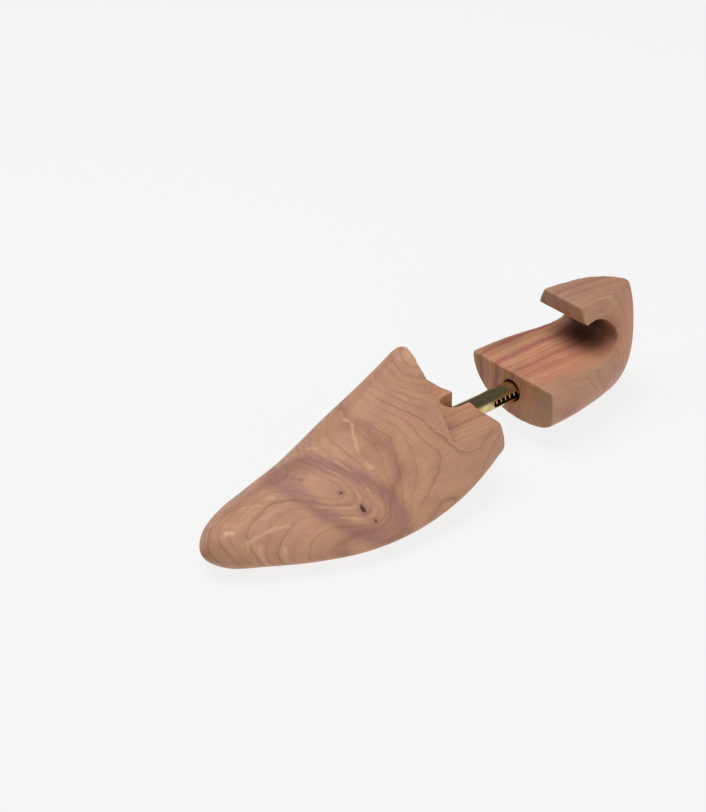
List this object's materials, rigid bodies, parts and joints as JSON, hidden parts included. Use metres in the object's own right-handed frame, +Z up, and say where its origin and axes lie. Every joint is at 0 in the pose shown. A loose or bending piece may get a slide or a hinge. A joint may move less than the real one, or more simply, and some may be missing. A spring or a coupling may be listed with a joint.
{
  "type": "shoe tree",
  "caption": "Cedar shoe tree for a left shoe: last-shaped forepart, slotted spring tube on a cross pin, and a sliding heel block with a finger hook.",
  "frame": {"origin": "centre of the bounding box's underside, on the surface the tree stands on", "axes": "+X to the heel along the tube, +Y to the medial (inner) side of the foot, +Z up"},
  "size_m": [0.2978, 0.0868, 0.0753],
  "materials": {
    "cedar_forepart": "sanded, unsealed red cedar",
    "cedar_heel": "sanded, unsealed red cedar",
    "brass_tube": "polished, thin brass plating",
    "pin_steel": "plain drawn steel",
    "seat_brass": "turned brass",
    "spring_wire": "drawn wire with brass wash"
  },
  "bodies": {
    "forepart": {"forepart": "cedar_forepart", "hinge_pin": "pin_steel"},
    "stem": {"tube": "brass_tube", "spring_seat": "seat_brass", "spring": "spring_wire"},
    "heel": {"heel_block": "cedar_heel", "guide_pin": "pin_steel", "spring_follower": "seat_brass"}
  },
  "joints": [
    {"name": "stem_tilt", "type": "hinge", "parent": "forepart", "child": "stem", "pos_m": [0.0089, 0.00318, 0.0265], "axis": [0, -1, 0], "range_deg": [0, 20]},
    {"name": "heel_slide", "type": "slide", "parent": "stem", "child": "heel", "axis": [1, 0, 0], "range_m": [-0.032, 0], "stiffness_N_per_m": 900, "springref_m": 0.012, "deforming": ["spring"]}
  ]
}
